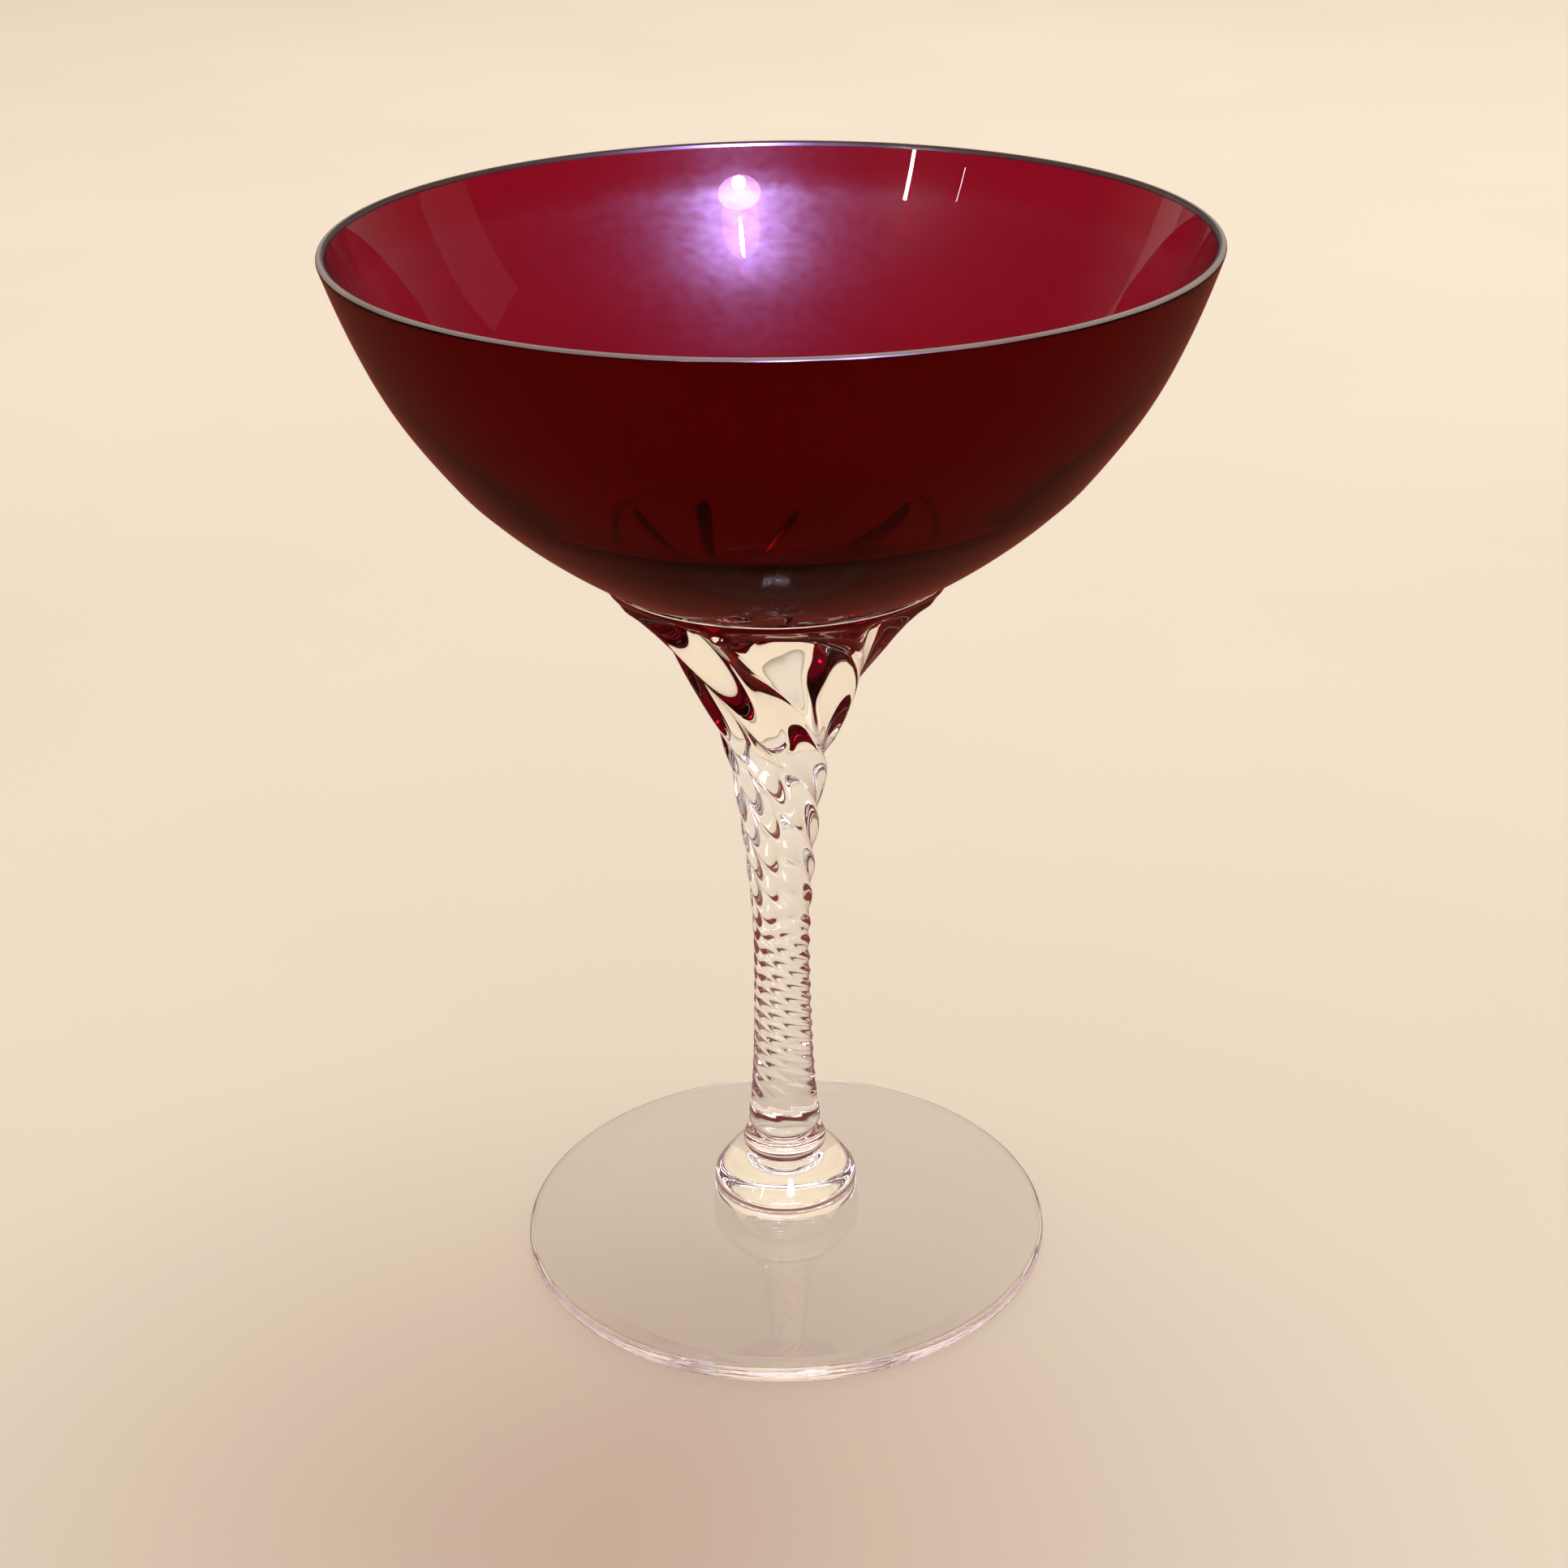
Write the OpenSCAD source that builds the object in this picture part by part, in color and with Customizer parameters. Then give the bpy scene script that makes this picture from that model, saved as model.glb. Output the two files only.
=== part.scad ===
// Champagne coupe: a clear bowl lined with ruby glass, on a twisted clear stem and a round foot.
// Millimetres, +Z up. The origin is on the axis, in the plane the foot rests on.
// Every piece is hot glass joined to the next one, so neighbours share a face.

/* [Overall] */
// Outside diameter of the rim
rim_diameter = 106; // [100:0.5:112]
// Height of the whole glass
total_height = 140; // [134:0.5:156]
// Diameter of the foot
foot_diameter = 71.6; // [64:0.2:80]

/* [Bowl] */
// Depth of the bowl, from the rim down to its lowest point outside
bowl_depth = 49.4; // [47:0.1:52]
// Thickness of the whole wall at the rim
rim_wall = 1; // [0.9:0.05:1.4]
// Thickness of the whole wall under the middle of the bowl
base_wall = 4.6; // [3.6:0.1:5.2]
// Thickness of the ruby lining at the rim
ruby_rim = 0.45; // [0.3:0.05:0.6]
// Thickness of the ruby lining at the bottom of the bowl
ruby_base = 0.7; // [0.5:0.05:1.2]
// Height of the clear band between the lining and the rounded lip
clear_band = 0.12; // [0.1:0.02:1]

/* [Stem] */
// Diameter over the ribs at the thinnest place
stem_diameter = 7.5; // [7:0.1:8]
// Number of twisted ribs
rib_count = 8; // [6:1:9]
// Direction of the first rib at the bottom of the stem, in degrees
rib_phase = 53; // [0:1:60]
// How far a rib head stands out under the bowl
rib_head = 0.4; // [0:0.05:0.5]

/* [Collar and knop] */
// Diameter of the collar under the stem
collar_diameter = 11.3; // [10.6:0.1:12]
// Height of the collar
collar_height = 3; // [2.6:0.1:3.4]
// Diameter of the rounded knop
knop_diameter = 19.4; // [18.4:0.1:20.4]
// Height of the knop
knop_height = 6.8; // [6.4:0.1:7.4]

/* [Foot] */
// Height of the foot where the knop stands on it
foot_rise = 7.1; // [6.4:0.1:8]
// Thickness of the foot at its rounded edge
foot_edge = 2.3; // [2:0.1:2.8]
// Width of the flat ring the foot rests on
rest_ring_width = 3.2; // [2.4:0.1:5]
// Thickness of the foot in the middle
foot_middle_wall = 3.2; // [2.6:0.1:4]

/* [Hidden] */
$fn = 128;

rim_radius = rim_diameter / 2;
foot_radius = foot_diameter / 2;
collar_radius = collar_diameter / 2;
knop_radius = knop_diameter / 2;
stem_radius = stem_diameter / 2;

knop_bottom = foot_rise;
collar_bottom = knop_bottom + knop_height;
stem_bottom = collar_bottom + collar_height;
bowl_bottom = total_height - bowl_depth;
calyx_top = bowl_bottom + 0.168 * bowl_depth;
stem_length = calyx_top - stem_bottom;

CURVE_STEPS = 6;  // straight pieces between two points of a smooth curve
TINY = 0.01;

// Outside of the bowl: [share of the rim radius, share of the bowl's depth].
BOWL_SHAPE = [
    [0, 0], [0.125, 0.017], [0.251, 0.068], [0.386, 0.150], [0.501, 0.231], [0.599, 0.312],
    [0.682, 0.393], [0.751, 0.474], [0.857, 0.636], [0.932, 0.798], [1, 1]
];

// Stem: [share of its length from the bottom, radius over the ribs as a multiple of the
// thinnest radius, flute depth, twist in degrees per mm].
STEM_SHAPE = [
    [0.000, 1.17, 0.00, 0],
    [0.016, 1.30, 0.02, 4],
    [0.062, 1.19, 0.08, 18],
    [0.160, 1.07, 0.18, 23],
    [0.320, 1.00, 0.26, 20],
    [0.390, 1.04, 0.32, 13],
    [0.450, 1.13, 0.42, 9.5],
    [0.540, 1.32, 0.65, 8.3],
    [0.580, 1.43, 0.80, 6.6],
    [0.630, 1.58, 0.95, 5.6],
    [0.665, 1.74, 1.10, 7.0],
    [0.696, 1.91, 1.20, 8.0],
    [0.721, 2.07, 1.30, 5.0],
    [0.757, 2.42, 1.35, 3.4],
    [0.815, 3.05, 1.45, 3.2],
    [0.900, 4.17, 2.45, 2.6],
    [0.945, 4.98, 3.60, 1.5],
    [0.963, 5.33, 2.80, 0.6],
    [0.976, 5.60, 1.90, 0.0],
    [0.986, 5.80, 0.35, 0.0],
    [1.000, 5.90, 0.05, 0.0]
];

function mix(a, b, share) = a + (b - a) * share;

// Catmull-Rom curve through a list of rows of numbers, as a denser list of rows. At its ends it
// runs straight on, or with bent_ends it goes on bending.
function between(p0, p1, p2, p3, t) =
    0.5 * (2 * p1 + (p2 - p0) * t + (2 * p0 - 5 * p1 + 4 * p2 - p3) * t * t
        + (3 * p1 - p0 - 3 * p2 + p3) * t * t * t);
function one_before(rows, bent) = bent ? 3 * rows[0] - 3 * rows[1] + rows[2] : 2 * rows[0] - rows[1];
function smooth(rows, steps = CURVE_STEPS, bent_ends = false) =
    let (
        last = len(rows) - 1,
        final_rows = [rows[last], rows[last - 1], rows[last - 2]]
    )
    [
        for (i = [0 : last - 1])
            let (
                before = i > 0 ? rows[i - 1] : one_before(rows, bent_ends),
                after = i < last - 1 ? rows[i + 2] : one_before(final_rows, bent_ends)
            )
            for (k = [0 : steps - 1]) between(before, rows[i], rows[i + 1], after, k / steps),
        rows[last]
    ];

// Pairs for lookup(): column 0 of a table and one other column.
function column(rows, index) = [for (row = rows) [row[0], row[index]]];

// Rounded arc of a profile: centre, radius, first and last angle.
function arc(centre, radius, from, to, steps = 10) = [
    for (k = [0 : steps])
        let (angle = mix(from, to, k / steps))
        centre + radius * [cos(angle), sin(angle)]
];

// Direction across a curve at one of its points, turned to its left.
function across(curve, i) =
    let (
        a = curve[max(i - 1, 0)],
        b = curve[min(i + 1, len(curve) - 1)],
        along = (b - a) / norm(b - a)
    )
    [-along.y, along.x];

// ---- bowl curves, as [radius, height] from the middle up to the rim ----

bowl_shape = [for (p = smooth(BOWL_SHAPE, bent_ends = true)) [p.x * rim_radius, p.y * bowl_depth]];
rim_lean = across(bowl_shape, len(bowl_shape) - 1);  // points into the bowl at the rim
lip_radius = rim_wall / 2;
rim_edge_radius = rim_radius - lip_radius * (1 + rim_lean.x);
rim_edge_height = total_height - lip_radius * (1 + rim_lean.y);
bowl_outside = [
    for (p = bowl_shape)
        [p.x * rim_edge_radius / rim_radius, mix(bowl_bottom, rim_edge_height, p.y / bowl_depth)]
];

// The bowl's outer curve moved inwards, by one depth in the middle and another at the rim. The wall
// thins evenly, but for a level place in the middle, which keeps the bottom of the bowl round.
LEVEL_MIDDLE = 0.1;
function thinning(share) =
    (norm([share, LEVEL_MIDDLE]) - LEVEL_MIDDLE) / (norm([1, LEVEL_MIDDLE]) - LEVEL_MIDDLE);
function inside_bowl(depth_in_middle, depth_at_rim) = [
    for (i = [0 : len(bowl_outside) - 1])
        let (
            p = bowl_outside[i],
            depth = mix(depth_in_middle, depth_at_rim, thinning(p.x / rim_edge_radius)),
            inward = i == 0 ? [0, 1] : across(bowl_outside, i)
        )
        p + depth * inward
];

bowl_inside = inside_bowl(base_wall, rim_wall);
bowl_interface = inside_bowl(base_wall - ruby_base, rim_wall - ruby_rim);
ruby_top = bowl_interface[len(bowl_interface) - 1].y - clear_band;

function radius_at(curve, height) = lookup(height, [for (p = curve) [p.y, p.x]]);
function below(curve, height) = [
    for (p = curve) if (p.y < height - TINY) p,
    [radius_at(curve, height), height]
];
function above(curve, height) = [
    [radius_at(curve, height), height],
    for (p = curve) if (p.y > height + TINY) p
];
function backwards(list) = [for (i = [len(list) - 1 : -1 : 0]) list[i]];

rim_outer_end = bowl_outside[len(bowl_outside) - 1];
rim_inner_end = bowl_inside[len(bowl_inside) - 1];
rim_centre = (rim_outer_end + rim_inner_end) / 2;
rim_angle = atan2(rim_outer_end.y - rim_centre.y, rim_outer_end.x - rim_centre.x);
rim_lip = arc(rim_centre, norm(rim_outer_end - rim_centre), rim_angle, rim_angle + 180);

// Ruby glass that lines the bowl and stops just under the clear rim.
module bowl_ruby_lining() {
    color([0.5, 0.01, 0.04]) rotate_extrude()
        polygon(concat(below(bowl_interface, ruby_top), backwards(below(bowl_inside, ruby_top))));
}

// Clear glass around the lining, with the rounded rim.
module bowl_clear_casing() {
    color([0.85, 0.88, 0.9, 0.5]) rotate_extrude()
        polygon(concat(
            bowl_outside,
            rim_lip,
            backwards(above(bowl_inside, ruby_top)),
            backwards(below(bowl_interface, ruby_top))
        ));
}

// The whole space inside the bowl's outer curve, used to cut the seat in the calyx.
module bowl_body() {
    rotate_extrude($fn = 96)
        polygon(concat(bowl_outside, [[0, rim_outer_end.y]]));
}

// ---- stem ----

stem_rows = smooth(STEM_SHAPE, 4);
function stem_crest(share) = stem_radius * lookup(share, column(stem_rows, 1));
function flute_depth(share) = max(0, lookup(share, column(stem_rows, 2)));
function twist_rate(share) = max(0, lookup(share, column(stem_rows, 3)));

// Rings are closer together where the twist is quick.
MAX_TURN = 14;         // degrees between two rings
MAX_RING_STEP = 1.3;   // mm between two rings
POINTS_PER_RIB = 6;
function ring_step(share) =
    min(MAX_RING_STEP, MAX_TURN / max(twist_rate(share), 1), 0.35 + 40 * share, 0.5 + 9 * (1 - share))
    / stem_length;
ring_shares = [for (s = 0; s < 1 - TINY / 4; s = s + ring_step(s)) s, 1];
ring_turns = [
    for (
        i = 0, turn = 0;
        i < len(ring_shares);
        turn = turn + (i < len(ring_shares) - 1
            ? twist_rate(ring_shares[i]) * (ring_shares[i + 1] - ring_shares[i]) * stem_length
            : 0),
        i = i + 1
    ) turn
];

// 1 on top of a rib, 0 in the middle of a flute; across is 0 to 1 from rib to rib.
RIB_ROUNDING = 0.18;
function rib_shape(across) =
    let (wave = sin(180 * across))
    1 - (sqrt(wave * wave + RIB_ROUNDING * RIB_ROUNDING) - RIB_ROUNDING)
        / (sqrt(1 + RIB_ROUNDING * RIB_ROUNDING) - RIB_ROUNDING);

// A rib head is a small swelling near the top of the calyx.
RIB_HEAD_SHARE = 0.962;
RIB_HEAD_LENGTH = 0.012;
function head_swelling(share) = rib_head * exp(-pow((share - RIB_HEAD_SHARE) / RIB_HEAD_LENGTH, 2));

function stem_point(ring, k) =
    let (
        share = ring_shares[ring],
        rib = rib_shape((k % POINTS_PER_RIB) / POINTS_PER_RIB),
        radius = stem_crest(share) - flute_depth(share) * (1 - rib) + head_swelling(share) * pow(rib, 3),
        angle = rib_phase - ring_turns[ring] + 360 * k / (rib_count * POINTS_PER_RIB)
    )
    [radius * cos(angle), radius * sin(angle), stem_bottom + share * stem_length];

// A solid through rings of points listed from the bottom up.
module solid_of_rings(rings) {
    around = len(rings[0]);
    top = len(rings) - 1;
    points = [for (ring = rings) each ring];
    walls = [
        for (i = [0 : top - 1], k = [0 : around - 1])
            let (
                a = i * around + k,
                b = i * around + (k + 1) % around
            )
            each [[a, b + around, b], [a, a + around, b + around]]
    ];
    bottom_cap = [for (k = [0 : around - 1]) k];
    top_cap = [for (k = [around - 1 : -1 : 0]) top * around + k];
    polyhedron(points, concat(walls, [bottom_cap, top_cap]));
}

// Twisted stem that opens into the fluted calyx, with the bowl's seat cut in its top.
module twisted_stem() {
    around = rib_count * POINTS_PER_RIB;
    color([0.86, 0.9, 0.92]) difference() {
        solid_of_rings([
            for (ring = [0 : len(ring_shares) - 1]) [for (k = [0 : around - 1]) stem_point(ring, k)]
        ]);
        bowl_body();
    }
}

// ---- collar, knop and foot ----

neck_radius = stem_radius * STEM_SHAPE[0][1];
collar_foot_radius = collar_radius * 0.94;
module stem_collar() {
    widest = mix(collar_bottom, stem_bottom, 0.3);
    side = smooth([
        [collar_foot_radius, collar_bottom],
        [collar_radius, widest],
        [mix(collar_radius, neck_radius, 0.35), mix(collar_bottom, stem_bottom, 0.72)],
        [neck_radius, stem_bottom]
    ]);
    color([0.8, 0.86, 0.9]) rotate_extrude()
        polygon(concat([[0, collar_bottom]], side, [[0, stem_bottom]]));
}

knop_foot_radius = knop_radius + 1.2;
module foot_knop() {
    side = smooth([
        [knop_foot_radius, knop_bottom],
        [knop_radius * 1.015, mix(knop_bottom, collar_bottom, 0.06)],
        [knop_radius * 0.985, mix(knop_bottom, collar_bottom, 0.14)],
        [knop_radius, mix(knop_bottom, collar_bottom, 0.26)],
        [knop_radius * 0.975, mix(knop_bottom, collar_bottom, 0.40)],
        [knop_radius * 0.87, mix(knop_bottom, collar_bottom, 0.62)],
        [knop_radius * 0.76, mix(knop_bottom, collar_bottom, 0.82)],
        [knop_radius * 0.66, mix(knop_bottom, collar_bottom, 0.93)],
        [collar_foot_radius, collar_bottom]
    ]);
    color([0.74, 0.82, 0.88]) rotate_extrude()
        polygon(concat([[0, knop_bottom]], side, [[0, collar_bottom]]));
}

// Conical foot: rounded edge, flat ring to rest on, hollow underneath.
module foot_disc() {
    edge_radius = foot_edge / 2;
    edge_centre = [foot_radius - edge_radius, edge_radius];
    hollow_edge = edge_centre.x - rest_ring_width;
    hollow_top = foot_rise - foot_middle_wall;
    underside = smooth([
        [0, hollow_top],
        [hollow_edge * 0.3, hollow_top * 0.93],
        [hollow_edge * 0.7, hollow_top * 0.42],
        [hollow_edge, 0]
    ]);
    top = smooth([
        [edge_centre.x, foot_edge],
        [foot_radius * 0.76, mix(foot_edge, foot_rise, 0.24)],
        [foot_radius * 0.5, mix(foot_edge, foot_rise, 0.62)],
        [knop_foot_radius, foot_rise]
    ]);
    color([0.86, 0.9, 0.92]) rotate_extrude()
        polygon(concat(underside, arc(edge_centre, edge_radius, -90, 90), top, [[0, foot_rise]]));
}

bowl_ruby_lining();
bowl_clear_casing();
twisted_stem();
stem_collar();
foot_knop();
foot_disc();
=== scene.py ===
"""Champagne coupe: a clear bowl lined with ruby glass, on a twisted clear stem and a round foot.

Metres, +Z up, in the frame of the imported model. The pieces are fused glass, so the faces where two
of them meet don't bend light: each piece's mesh is closed, and its meeting faces carry a seam
material that lets light straight through. Lathe profiles are lists of (radius, height).
"""

import math

import bpy
import numpy as np
from mathutils import Matrix, Vector


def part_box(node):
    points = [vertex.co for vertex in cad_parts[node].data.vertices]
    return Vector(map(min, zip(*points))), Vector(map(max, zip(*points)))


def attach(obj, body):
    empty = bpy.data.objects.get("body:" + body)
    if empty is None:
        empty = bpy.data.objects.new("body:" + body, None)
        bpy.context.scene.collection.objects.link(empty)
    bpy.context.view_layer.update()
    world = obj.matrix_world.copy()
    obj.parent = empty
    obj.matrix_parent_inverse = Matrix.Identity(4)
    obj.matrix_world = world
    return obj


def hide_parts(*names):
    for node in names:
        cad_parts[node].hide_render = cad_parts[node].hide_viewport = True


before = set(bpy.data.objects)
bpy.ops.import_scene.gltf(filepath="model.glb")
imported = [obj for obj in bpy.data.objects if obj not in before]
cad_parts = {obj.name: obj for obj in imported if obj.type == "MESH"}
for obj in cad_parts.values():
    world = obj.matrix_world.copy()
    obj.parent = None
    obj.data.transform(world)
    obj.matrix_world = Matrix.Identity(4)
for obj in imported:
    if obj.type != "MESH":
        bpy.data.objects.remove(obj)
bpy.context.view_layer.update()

MM = 0.001
GLASS_IOR = 1.5
AIR, SEAM, GROUND = 0, 1, 2   # material slots: faces in air, faces fused to glass, ground lip

# How finely the pieces are divided.
AROUND = 256          # points round a plain lathed piece
CIRCLE = np.arange(AROUND) * 2 * math.pi / AROUND   # their angles, in radians
CURVE_STEPS = 9       # straight pieces between two points of a smooth curve
STEM_STEPS = 6        # the same, between two rows of STEM_SHAPE
LIP_STEPS = 18        # straight pieces round the lip
CLEAR_LIP_STEPS = 4   # of those, the ones on the outside that aren't ground
POINTS_PER_RIB = 26

# Rings of the stem lie at most RING_STEP mm apart, and closer near its two ends: by the step at the
# end, in mm, plus the growth for each stem's length from there.
RING_STEP = 0.4
BOTTOM_RING_STEP = 0.08
BOTTOM_RING_GROWTH = 20
TOP_RING_STEP = 0.1
TOP_RING_GROWTH = 6
RING_TURN = 5         # the most that the stem twists from one ring to the next, in degrees

# Bowl, in metres.
RIM_WALL = 1.0 * MM
BASE_WALL = 4.6 * MM
RUBY_RIM = 0.45 * MM
RUBY_BASE = 0.7 * MM
RIM_WAVE = 0.015 * MM   # unevenness of the lower edge of the ground rim
INSIDE_CAD = 0.01 * MM  # by which the rim stays inside the CAD model
SEAM_GAP = 0.03 * MM    # between two seam faces, so that no ray meets both at one point
CUT_MARGIN = 0.02 * MM  # a curve's points nearer than this to where it is cut are left out
LEVEL_MIDDLE = 0.1      # share of the rim radius in which the wall hardly thins

# Foot, knop and collar, in metres.
FOOT_EDGE = 2.3 * MM
FOOT_MIDDLE_WALL = 3.2 * MM
REST_RING_WIDTH = 3.2 * MM
KNOP_FLARE = 1.2 * MM
COLLAR_FOOT = 0.94    # radius of the collar where it meets the knop, against its widest radius

# Stem and calyx. A pair of shares of the stem's length is where something starts and is complete.
STEM_RADIUS = 3.75 * MM
CALYX_SHARE = 0.168   # share of the bowl's depth that the calyx covers
SEAT_COVER = 0.4 * MM  # least glass between a flute and the bowl
RIB_PHASE = 53.0      # degrees
RIB_HEAD = 0.4 * MM   # swelling at the head of a rib, with its place and length as shares
RIB_HEAD_SHARE = 0.962
RIB_HEAD_LENGTH = 0.012
RIB_ROUNDING = ((0.4, 0.9), (0.3, 0.1))   # two shares of the stem's length and the rounding there
RIBS_UNEVEN = (0, 0.5)
FLUTES_LEAN = (0.6, 14 / 15)
FLUTES_LIFTED = (0.875, 1)
LEAN_REACH = 1 / 9    # how far a fully leaning flute goes, as a share of its width
DROP_HEIGHT = 0.9     # of a drop, as a multiple of its size

# The ribs were pulled by hand, so each differs: how far it is out of place in degrees, how deep the
# flute after it is as a multiple of the usual depth, how much higher that flute ends in mm, and how
# far the flute's deepest line leans to one side, from -1 to 1.
RIBS = [
    (0, 1.00, 0.0, 0.4), (2, 0.85, 0.3, -0.3), (-3, 1.10, -0.3, 0.5), (3, 0.90, 0.2, -0.2),
    (-2, 1.05, 0.4, 0.4), (1, 0.95, -0.2, -0.4), (-3, 1.15, -0.4, 0.5), (0, 0.95, 0.1, -0.5),
]
# Drops where the calyx was pressed on the bowl: degrees from the first rib, share of the stem's
# length, size in mm.
DROPS = [
    (-11, 0.972, 0.8), (0, 0.968, 0.95), (-62, 0.985, 0.6), (120, 0.974, 0.8), (205, 0.97, 0.7),
]

# Outside of the bowl: (share of the rim radius, share of the bowl's depth).
BOWL_SHAPE = [
    (0, 0), (0.125, 0.017), (0.251, 0.068), (0.386, 0.150), (0.501, 0.231), (0.599, 0.312),
    (0.682, 0.393), (0.751, 0.474), (0.857, 0.636), (0.932, 0.798), (1, 1),
]

# Stem: (share of its length from the bottom, radius over the ribs as a multiple of the thinnest
# radius, flute depth in mm, twist in degrees per mm).
STEM_SHAPE = [
    (0.000, 1.17, 0.00, 0),
    (0.016, 1.30, 0.02, 4),
    (0.062, 1.19, 0.08, 18),
    (0.160, 1.07, 0.18, 23),
    (0.320, 1.00, 0.26, 20),
    (0.390, 1.04, 0.32, 13),
    (0.450, 1.13, 0.42, 9.5),
    (0.540, 1.32, 0.65, 8.3),
    (0.580, 1.43, 0.80, 6.6),
    (0.630, 1.58, 0.95, 5.6),
    (0.665, 1.74, 1.10, 7.0),
    (0.696, 1.91, 1.20, 8.0),
    (0.721, 2.07, 1.30, 5.0),
    (0.757, 2.42, 1.35, 3.4),
    (0.815, 3.05, 1.45, 3.2),
    (0.900, 4.17, 2.45, 2.6),
    (0.945, 4.98, 3.60, 1.5),
    (0.963, 5.33, 2.80, 0.6),
    (0.976, 5.60, 1.90, 0.0),
    (0.986, 5.80, 0.35, 0.0),
    (1.000, 5.90, 0.05, 0.0),
]
RADIUS, DEPTH, TWIST = 1, 2, 3   # columns of STEM_SHAPE

# Collar: (share of the way from its widest radius in to the stem's, share of its height).
COLLAR_SHAPE = [(0, 0.3), (0.35, 0.72)]
# Knop: (multiple of its radius, share of its height).
KNOP_SHAPE = [
    (1.015, 0.06), (0.985, 0.14), (1, 0.26), (0.975, 0.40),
    (0.87, 0.62), (0.76, 0.82), (0.66, 0.93),
]
# Top of the foot: (share of the foot's radius, share of its rise to the middle).
FOOT_SHAPE = [(0.76, 0.24), (0.5, 0.62)]
# Hollow under the foot: (share of its radius, share of its height).
HOLLOW_SHAPE = [(0, 1), (0.3, 0.93), (0.7, 0.42)]

# Red, green and blue light that ruby glass takes out, per millimetre.
RUBY_ABSORPTION = (2.6, 11.5, 8.0)

# Waves of blown glass: (how many to a metre, their height in metres, their stretch on each axis).
BOWL_WAVES = (35, 0.02 * MM, (1, 1, 1.6))
STEM_WAVES = (120, 0.012 * MM, (1, 1, 0.6))
FOOT_WAVES = (45, 0.015 * MM, (1, 1, 1))
FINE_WAVES = (5, 0.06)    # smaller waves on those: how many to one, and their share of its height

# Light that lamps send through one face of clear glass, and the share of it that passes at a slant.
LAMP_TINT = (0.96, 0.96, 0.97)
STEM_LAMP_TINT = (0.95, 0.95, 0.96)
SLANT_SHARE = 0.62

# How strongly the bowl's faces reflect what is straight in front of them, against plain glass.
CLEAR_MIRROR = 0.45
RUBY_MIRROR = 0.6

SMUDGE_ROUGHNESS = 0.035
GROUND_ROUGHNESS = (0.26, 0.34)
GROUND_SHINE_THROUGH = 0.3   # share of the light that goes into the ground rim

# Haze that a drink left when it dried: (share of the lining's height, how thick it lies there).
HAZE = [(0.0, 0.25), (0.5, 0.35), (0.85, 0.8), (0.91, 1.0), (0.94, 0.35), (0.98, 0.15)]
HAZE_WAVE = 0.07          # how far its lines wander, as a share of that height
HAZE_ROUGHNESS = 0.35
HAZE_IOR = 1.3

# Surroundings as seen directly or through glass, and in mirror reflections: the direction in which
# they are palest, and their darkest and palest colours.
SURROUNDINGS = [
    ((0, 0.9, 0.2), (0.62, 0.58, 0.54), (1.35, 1.1, 0.8)),
    ((0, 0.7, -0.6), (0.05, 0.045, 0.045), (0.62, 0.56, 0.48)),
]
PALEST_FROM = 0.75        # how near the palest direction the palest colour starts, 1 being in it
WORLD_STRENGTH = 0.75

FLOOR_SIZE = 8
FLOOR_GAP = 0.02 * MM
LIT_HEIGHT = 0.12         # height of the middle of the bowl, which all lights face

# Camera: millimetres, its place in metres, and the degrees it is turned down, right and rolled.
CAMERA_LENS = 60.0
CAMERA_SENSOR = 36.0
CAMERA_NEAR = 0.01
CAMERA_PLACE = (0.0, -0.3052, 0.2128)
CAMERA_DOWN = 25.34
CAMERA_RIGHT = 0.11
CAMERA_ROLL = -0.84


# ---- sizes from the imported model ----

def node_span(node):
    """(radius, lowest z, highest z) of a CAD node."""
    low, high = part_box(node)
    return min(high.x, high.y, -low.x, -low.y), low.z, high.z


rim_radius, bowl_bottom, rim_top = node_span("bowl_clear_casing")
rim_radius -= INSIDE_CAD
rim_top -= INSIDE_CAD
_, _, ruby_top = node_span("bowl_ruby_lining")
_, stem_bottom, _ = node_span("twisted_stem")
collar_radius, collar_bottom, _ = node_span("stem_collar")
knop_foot_radius, knop_bottom, _ = node_span("foot_knop")
foot_radius, foot_bottom, foot_rise = node_span("foot_disc")
knop_radius = knop_foot_radius - KNOP_FLARE
neck_radius = STEM_RADIUS * STEM_SHAPE[0][1]
collar_foot_radius = collar_radius * COLLAR_FOOT
bowl_depth = rim_top - bowl_bottom
calyx_top = bowl_bottom + CALYX_SHARE * bowl_depth
stem_length = calyx_top - stem_bottom


# ---- curves ----

def mix(a, b, share):
    return a + (b - a) * share


def rise(share, start, end):
    """0 up to start and 1 from end on, with an even slope between them."""
    return np.clip((share - start) / (end - start), 0, 1)


def smooth(rows, steps=CURVE_STEPS, bent_ends=False):
    """Catmull-Rom curve through rows of numbers, as a denser array.

    At its ends the curve runs straight on, or with bent_ends it goes on bending.
    """
    rows = np.array(rows, dtype=float)
    if bent_ends:
        before = 3 * rows[0] - 3 * rows[1] + rows[2]
        after = 3 * rows[-1] - 3 * rows[-2] + rows[-3]
    else:
        before = 2 * rows[0] - rows[1]
        after = 2 * rows[-1] - rows[-2]
    padded = np.vstack([before, rows, after])
    out = []
    for p0, p1, p2, p3 in zip(padded, padded[1:], padded[2:], padded[3:]):
        for t in np.arange(steps) / steps:
            out.append(0.5 * (2 * p1 + (p2 - p0) * t + (2 * p0 - 5 * p1 + 4 * p2 - p3) * t**2
                              + (3 * p1 - p0 - 3 * p2 + p3) * t**3))
    return np.array(out + [rows[-1]])


def across(curve):
    """Unit vectors to the left of a curve at each of its points."""
    along = np.gradient(curve, axis=0)
    along /= np.linalg.norm(along, axis=1)[:, None]
    return np.column_stack([-along[:, 1], along[:, 0]])


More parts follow.
